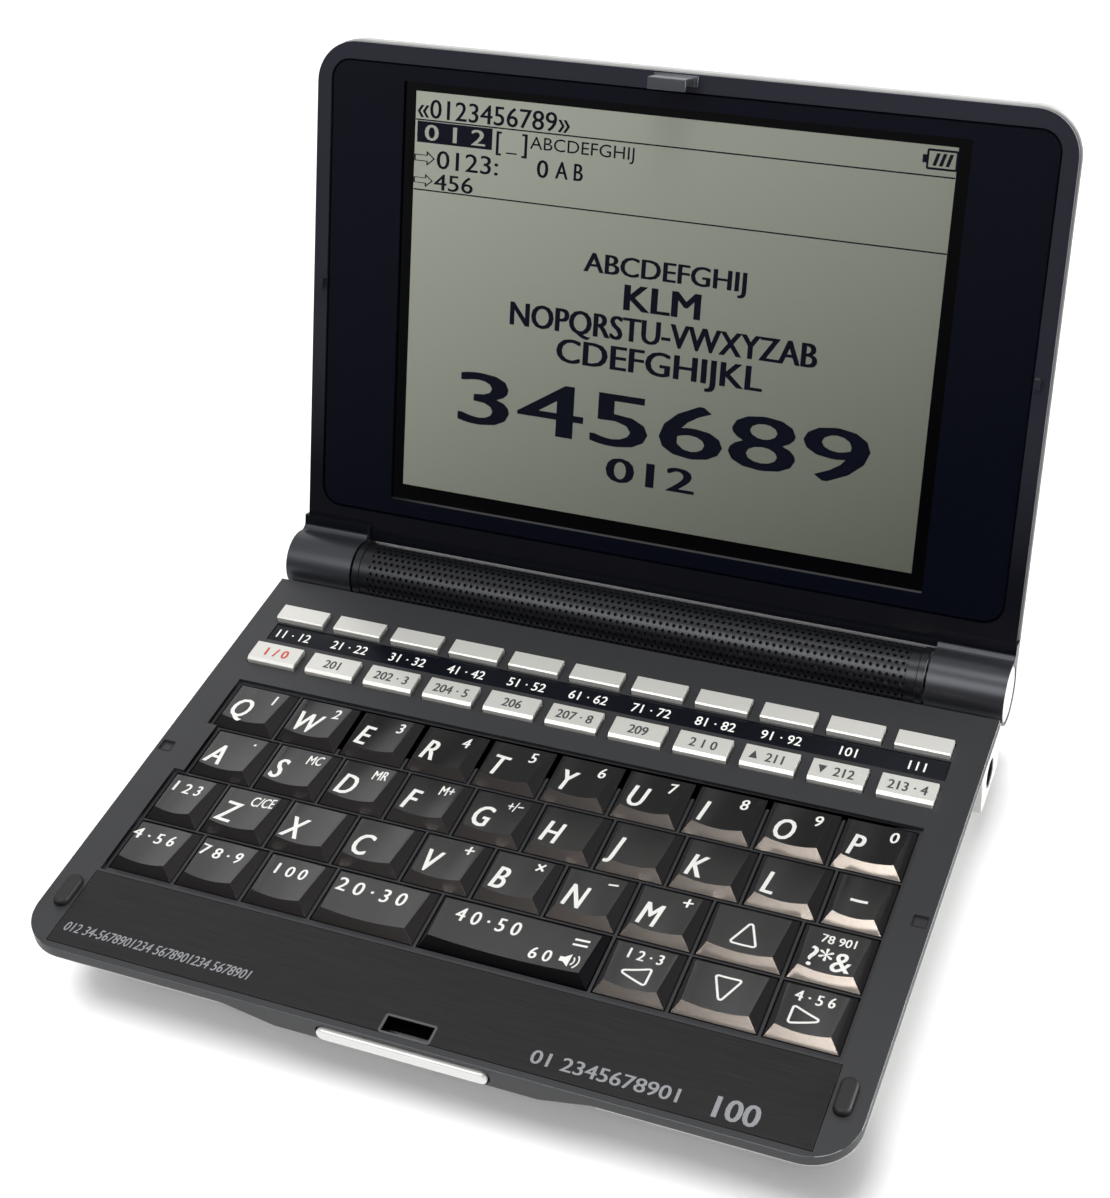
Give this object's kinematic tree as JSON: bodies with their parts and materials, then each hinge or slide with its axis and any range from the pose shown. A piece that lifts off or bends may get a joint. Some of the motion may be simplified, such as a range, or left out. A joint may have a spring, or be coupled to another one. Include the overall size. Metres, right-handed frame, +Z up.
{
  "type": "electronic dictionary",
  "caption": "Clamshell pocket electronic dictionary: a wedge-nosed base with black letter keys and two rows of silver keys, and a hinged lid with a grey-green display, shown open.",
  "frame": {"origin": "centre of the open object's plan box, on the plane that the feet rest on", "axes": "+X to the user's right along the hinge, +Y from the user towards the hinge and the lid's back, +Z up"},
  "size_m": [0.113, 0.1194, 0.0886],
  "materials": {
    "silver_plastic": "satin silver paint",
    "dark_plastic": "satin",
    "brushed_dark_plate": "fine brushed, dark anodised",
    "gloss_navy_strip": "gloss",
    "silicone_rubber": "matt",
    "board_laminate": "satin",
    "cell_sleeve": "satin sleeve",
    "dark_metal_tube": "dark painted",
    "speaker_plastic": "matt",
    "pin_steel": "turned",
    "black_rubber": "matt",
    "screw_steel": "plated",
    "bright_plated_plastic": "bright silver",
    "silver_key_plastic": "satin silver",
    "dark_lid_plastic": "satin",
    "tinted_window": "clear with printed border",
    "display_glass": "grey-green",
    "hook_steel": "satin",
    "black_key_plastic": "semi-gloss"
  },
  "bodies": {
    "base": {"bottom_case": "silver_plastic", "top_cover": "dark_plastic", "front_plate": "brushed_dark_plate", "name_strip": "gloss_navy_strip", "dome_sheet": "silicone_rubber", "circuit_board": "board_laminate", "batteries": "cell_sleeve", "speaker_grille": "dark_metal_tube", "speaker": "speaker_plastic", "hinge_pins": "pin_steel", "rubber_pads": "black_rubber", "case_screws": "screw_steel"},
    "lid": {"lid_back_cover": "silver_plastic", "lid_bezel": "dark_lid_plastic", "display_window": "tinted_window", "display_panel": "display_glass", "lid_hook": "hook_steel", "hinge_caps": "bright_plated_plastic"},
    "latch_button": {"latch_button": "bright_plated_plastic"},
    "battery_cover": {"battery_cover": "silver_plastic"},
    "upper_function_keys": {"upper_function_keys": "silver_key_plastic"},
    "lower_function_keys": {"lower_function_keys": "silver_key_plastic"},
    "key_q": {"key_q": "black_key_plastic"},
    "key_w": {"key_w": "black_key_plastic"},
    "key_e": {"key_e": "black_key_plastic"},
    "key_r": {"key_r": "black_key_plastic"},
    "key_t": {"key_t": "black_key_plastic"},
    "key_y": {"key_y": "black_key_plastic"},
    "key_u": {"key_u": "black_key_plastic"},
    "key_i": {"key_i": "black_key_plastic"},
    "key_o": {"key_o": "black_key_plastic"},
    "key_p": {"key_p": "black_key_plastic"},
    "key_a": {"key_a": "black_key_plastic"},
    "key_s": {"key_s": "black_key_plastic"},
    "key_d": {"key_d": "black_key_plastic"},
    "key_f": {"key_f": "black_key_plastic"},
    "key_g": {"key_g": "black_key_plastic"},
    "key_h": {"key_h": "black_key_plastic"},
    "key_j": {"key_j": "black_key_plastic"},
    "key_k": {"key_k": "black_key_plastic"},
    "key_l": {"key_l": "black_key_plastic"},
    "key_dash": {"key_dash": "black_key_plastic"},
    "key_shift": {"key_shift": "black_key_plastic"},
    "key_z": {"key_z": "black_key_plastic"},
    "key_x": {"key_x": "black_key_plastic"},
    "key_c": {"key_c": "black_key_plastic"},
    "key_v": {"key_v": "black_key_plastic"},
    "key_b": {"key_b": "black_key_plastic"},
    "key_n": {"key_n": "black_key_plastic"},
    "key_m": {"key_m": "black_key_plastic"},
    "key_up": {"key_up": "black_key_plastic"},
    "key_symbol": {"key_symbol": "black_key_plastic"},
    "key_menu": {"key_menu": "black_key_plastic"},
    "key_copy": {"key_copy": "black_key_plastic"},
    "key_jump": {"key_jump": "black_key_plastic"},
    "key_back": {"key_back": "black_key_plastic"},
    "key_enter": {"key_enter": "black_key_plastic"},
    "key_left": {"key_left": "black_key_plastic"},
    "key_down": {"key_down": "black_key_plastic"},
    "key_right": {"key_right": "black_key_plastic"}
  },
  "joints": [
    {"name": "lid_hinge", "type": "hinge", "parent": "base", "child": "lid", "pos_m": [0, 0.02285, 0.0132], "axis": [1, 0, 0], "range_deg": [-38, 111.8]},
    {"name": "latch_slide", "type": "slide", "parent": "base", "child": "latch_button", "axis": [0, 1, 0], "range_m": [0, 0.001], "stiffness_N_per_m": 800},
    {"name": "battery_cover_slide", "type": "slide", "parent": "base", "child": "battery_cover", "axis": [0, 1, 0], "range_m": [0, 0.006]},
    {"name": "upper_function_keys_press", "type": "slide", "parent": "base", "child": "upper_function_keys", "axis": [0, 0, -1], "range_m": [0, 0.0006], "stiffness_N_per_m": 1500},
    {"name": "lower_function_keys_press", "type": "slide", "parent": "base", "child": "lower_function_keys", "axis": [0, 0, -1], "range_m": [0, 0.0006], "stiffness_N_per_m": 1500},
    {"name": "key_q_press", "type": "slide", "parent": "base", "child": "key_q", "axis": [0, 0, -1], "range_m": [0, 0.0008], "stiffness_N_per_m": 500},
    {"name": "key_w_press", "type": "slide", "parent": "base", "child": "key_w", "axis": [0, 0, -1], "range_m": [0, 0.0008], "stiffness_N_per_m": 500},
    {"name": "key_e_press", "type": "slide", "parent": "base", "child": "key_e", "axis": [0, 0, -1], "range_m": [0, 0.0008], "stiffness_N_per_m": 500},
    {"name": "key_r_press", "type": "slide", "parent": "base", "child": "key_r", "axis": [0, 0, -1], "range_m": [0, 0.0008], "stiffness_N_per_m": 500},
    {"name": "key_t_press", "type": "slide", "parent": "base", "child": "key_t", "axis": [0, 0, -1], "range_m": [0, 0.0008], "stiffness_N_per_m": 500},
    {"name": "key_y_press", "type": "slide", "parent": "base", "child": "key_y", "axis": [0, 0, -1], "range_m": [0, 0.0008], "stiffness_N_per_m": 500},
    {"name": "key_u_press", "type": "slide", "parent": "base", "child": "key_u", "axis": [0, 0, -1], "range_m": [0, 0.0008], "stiffness_N_per_m": 500},
    {"name": "key_i_press", "type": "slide", "parent": "base", "child": "key_i", "axis": [0, 0, -1], "range_m": [0, 0.0008], "stiffness_N_per_m": 500},
    {"name": "key_o_press", "type": "slide", "parent": "base", "child": "key_o", "axis": [0, 0, -1], "range_m": [0, 0.0008], "stiffness_N_per_m": 500},
    {"name": "key_p_press", "type": "slide", "parent": "base", "child": "key_p", "axis": [0, 0, -1], "range_m": [0, 0.0008], "stiffness_N_per_m": 500},
    {"name": "key_a_press", "type": "slide", "parent": "base", "child": "key_a", "axis": [0, 0, -1], "range_m": [0, 0.0008], "stiffness_N_per_m": 500},
    {"name": "key_s_press", "type": "slide", "parent": "base", "child": "key_s", "axis": [0, 0, -1], "range_m": [0, 0.0008], "stiffness_N_per_m": 500},
    {"name": "key_d_press", "type": "slide", "parent": "base", "child": "key_d", "axis": [0, 0, -1], "range_m": [0, 0.0008], "stiffness_N_per_m": 500},
    {"name": "key_f_press", "type": "slide", "parent": "base", "child": "key_f", "axis": [0, 0, -1], "range_m": [0, 0.0008], "stiffness_N_per_m": 500},
    {"name": "key_g_press", "type": "slide", "parent": "base", "child": "key_g", "axis": [0, 0, -1], "range_m": [0, 0.0008], "stiffness_N_per_m": 500},
    {"name": "key_h_press", "type": "slide", "parent": "base", "child": "key_h", "axis": [0, 0, -1], "range_m": [0, 0.0008], "stiffness_N_per_m": 500},
    {"name": "key_j_press", "type": "slide", "parent": "base", "child": "key_j", "axis": [0, 0, -1], "range_m": [0, 0.0008], "stiffness_N_per_m": 500},
    {"name": "key_k_press", "type": "slide", "parent": "base", "child": "key_k", "axis": [0, 0, -1], "range_m": [0, 0.0008], "stiffness_N_per_m": 500},
    {"name": "key_l_press", "type": "slide", "parent": "base", "child": "key_l", "axis": [0, 0, -1], "range_m": [0, 0.0008], "stiffness_N_per_m": 500},
    {"name": "key_dash_press", "type": "slide", "parent": "base", "child": "key_dash", "axis": [0, 0, -1], "range_m": [0, 0.0008], "stiffness_N_per_m": 500},
    {"name": "key_shift_press", "type": "slide", "parent": "base", "child": "key_shift", "axis": [0, 0, -1], "range_m": [0, 0.0008], "stiffness_N_per_m": 500},
    {"name": "key_z_press", "type": "slide", "parent": "base", "child": "key_z", "axis": [0, 0, -1], "range_m": [0, 0.0008], "stiffness_N_per_m": 500},
    {"name": "key_x_press", "type": "slide", "parent": "base", "child": "key_x", "axis": [0, 0, -1], "range_m": [0, 0.0008], "stiffness_N_per_m": 500},
    {"name": "key_c_press", "type": "slide", "parent": "base", "child": "key_c", "axis": [0, 0, -1], "range_m": [0, 0.0008], "stiffness_N_per_m": 500},
    {"name": "key_v_press", "type": "slide", "parent": "base", "child": "key_v", "axis": [0, 0, -1], "range_m": [0, 0.0008], "stiffness_N_per_m": 500},
    {"name": "key_b_press", "type": "slide", "parent": "base", "child": "key_b", "axis": [0, 0, -1], "range_m": [0, 0.0008], "stiffness_N_per_m": 500},
    {"name": "key_n_press", "type": "slide", "parent": "base", "child": "key_n", "axis": [0, 0, -1], "range_m": [0, 0.0008], "stiffness_N_per_m": 500},
    {"name": "key_m_press", "type": "slide", "parent": "base", "child": "key_m", "axis": [0, 0, -1], "range_m": [0, 0.0008], "stiffness_N_per_m": 500},
    {"name": "key_up_press", "type": "slide", "parent": "base", "child": "key_up", "axis": [0, 0, -1], "range_m": [0, 0.0008], "stiffness_N_per_m": 500},
    {"name": "key_symbol_press", "type": "slide", "parent": "base", "child": "key_symbol", "axis": [0, 0, -1], "range_m": [0, 0.0008], "stiffness_N_per_m": 500},
    {"name": "key_menu_press", "type": "slide", "parent": "base", "child": "key_menu", "axis": [0, 0, -1], "range_m": [0, 0.0008], "stiffness_N_per_m": 500},
    {"name": "key_copy_press", "type": "slide", "parent": "base", "child": "key_copy", "axis": [0, 0, -1], "range_m": [0, 0.0008], "stiffness_N_per_m": 500},
    {"name": "key_jump_press", "type": "slide", "parent": "base", "child": "key_jump", "axis": [0, 0, -1], "range_m": [0, 0.0008], "stiffness_N_per_m": 500},
    {"name": "key_back_press", "type": "slide", "parent": "base", "child": "key_back", "axis": [0, 0, -1], "range_m": [0, 0.0008], "stiffness_N_per_m": 500},
    {"name": "key_enter_press", "type": "slide", "parent": "base", "child": "key_enter", "axis": [0, 0, -1], "range_m": [0, 0.0008], "stiffness_N_per_m": 500},
    {"name": "key_left_press", "type": "slide", "parent": "base", "child": "key_left", "axis": [0, 0, -1], "range_m": [0, 0.0008], "stiffness_N_per_m": 500},
    {"name": "key_down_press", "type": "slide", "parent": "base", "child": "key_down", "axis": [0, 0, -1], "range_m": [0, 0.0008], "stiffness_N_per_m": 500},
    {"name": "key_right_press", "type": "slide", "parent": "base", "child": "key_right", "axis": [0, 0, -1], "range_m": [0, 0.0008], "stiffness_N_per_m": 500}
  ]
}
